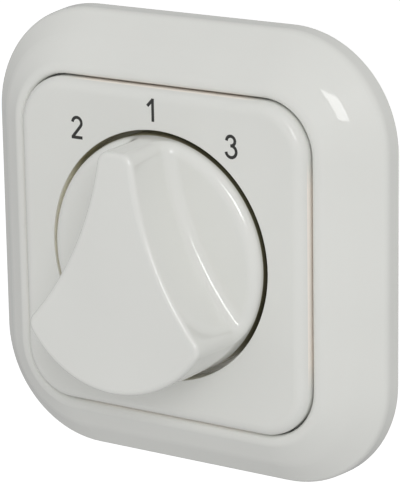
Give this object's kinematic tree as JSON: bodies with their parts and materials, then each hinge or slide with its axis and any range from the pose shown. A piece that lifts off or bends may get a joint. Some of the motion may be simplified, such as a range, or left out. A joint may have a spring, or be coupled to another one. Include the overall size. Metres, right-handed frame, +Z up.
{
  "type": "three-position rotary switch",
  "caption": "Flush wall selector switch with a fan-shaped knob that turns between three marked positions, in a rounded square plate and frame.",
  "frame": {"origin": "on the knob's axis, in the plane of the wall", "axes": "-Y out of the wall towards the user, +Z up, +X to the user's right"},
  "size_m": [0.08, 0.0498, 0.08],
  "materials": {
    "frame_plastic": "glossy off-white",
    "plate_plastic": "glossy off-white",
    "knob_plastic": "glossy off-white",
    "base_plastic": "moulded grey",
    "cover_plastic": "moulded light grey",
    "drum_plastic": "moulded natural",
    "zinc_steel": "zinc plated",
    "spring_steel": "bright drawn",
    "spindle_steel": "turned",
    "contact_brass": "bright",
    "bush_brass": "nickel free, turned"
  },
  "bodies": {
    "base": {"cover_frame": "frame_plastic", "centre_plate": "plate_plastic", "index_spring": "spring_steel", "threaded_bush": "bush_brass", "lock_washer": "zinc_steel", "fixing_nut": "zinc_steel", "mechanism_cover": "cover_plastic", "cover_screws": "zinc_steel", "support_ring": "zinc_steel", "switch_base": "base_plastic", "common_rail": "contact_brass", "contact_1": "contact_brass", "contact_2": "contact_brass", "contact_3": "contact_brass", "terminal_line": "contact_brass", "terminal_1": "contact_brass", "terminal_2": "contact_brass", "terminal_3": "contact_brass", "terminal_screws": "zinc_steel", "claw_pins": "zinc_steel", "claw_spring_right": "spring_steel", "claw_spring_left": "spring_steel"},
    "rotor": {"knob": "knob_plastic", "knob_clip": "spring_steel", "spindle": "spindle_steel", "index_drum": "drum_plastic", "contact_bridge": "contact_brass", "bridge_spring": "spring_steel"},
    "claw_right": {"claw_right": "zinc_steel"},
    "claw_left": {"claw_left": "zinc_steel"},
    "claw_screw_right": {"claw_screw_right": "zinc_steel"},
    "claw_screw_left": {"claw_screw_left": "zinc_steel"}
  },
  "joints": [
    {"name": "knob_turn", "type": "hinge", "parent": "base", "child": "rotor", "pos_m": [0, 0, 0], "axis": [0, 1, 0], "range_deg": [-37, 37], "deforming": ["index_spring"]},
    {"name": "claw_screw_right_travel", "type": "slide", "parent": "base", "child": "claw_screw_right", "axis": [0, 1, 0], "range_m": [0, 0.001]},
    {"name": "claw_screw_left_travel", "type": "slide", "parent": "base", "child": "claw_screw_left", "axis": [0, 1, 0], "range_m": [0, 0.001]},
    {"name": "claw_right_swing", "type": "hinge", "parent": "base", "child": "claw_right", "pos_m": [0.026, 0.0028, 0], "axis": [0, 0, -1], "range_deg": [0, 20], "deforming": ["claw_spring_right"]},
    {"name": "claw_left_swing", "type": "hinge", "parent": "base", "child": "claw_left", "pos_m": [-0.026, 0.0028, 0], "axis": [0, 0, 1], "range_deg": [0, 20], "deforming": ["claw_spring_left"]}
  ],
  "couplings": [
    {"joint": "claw_right_swing", "follows": "claw_screw_right_travel", "rad_per_m": 349.07},
    {"joint": "claw_left_swing", "follows": "claw_screw_left_travel", "rad_per_m": 349.07}
  ]
}
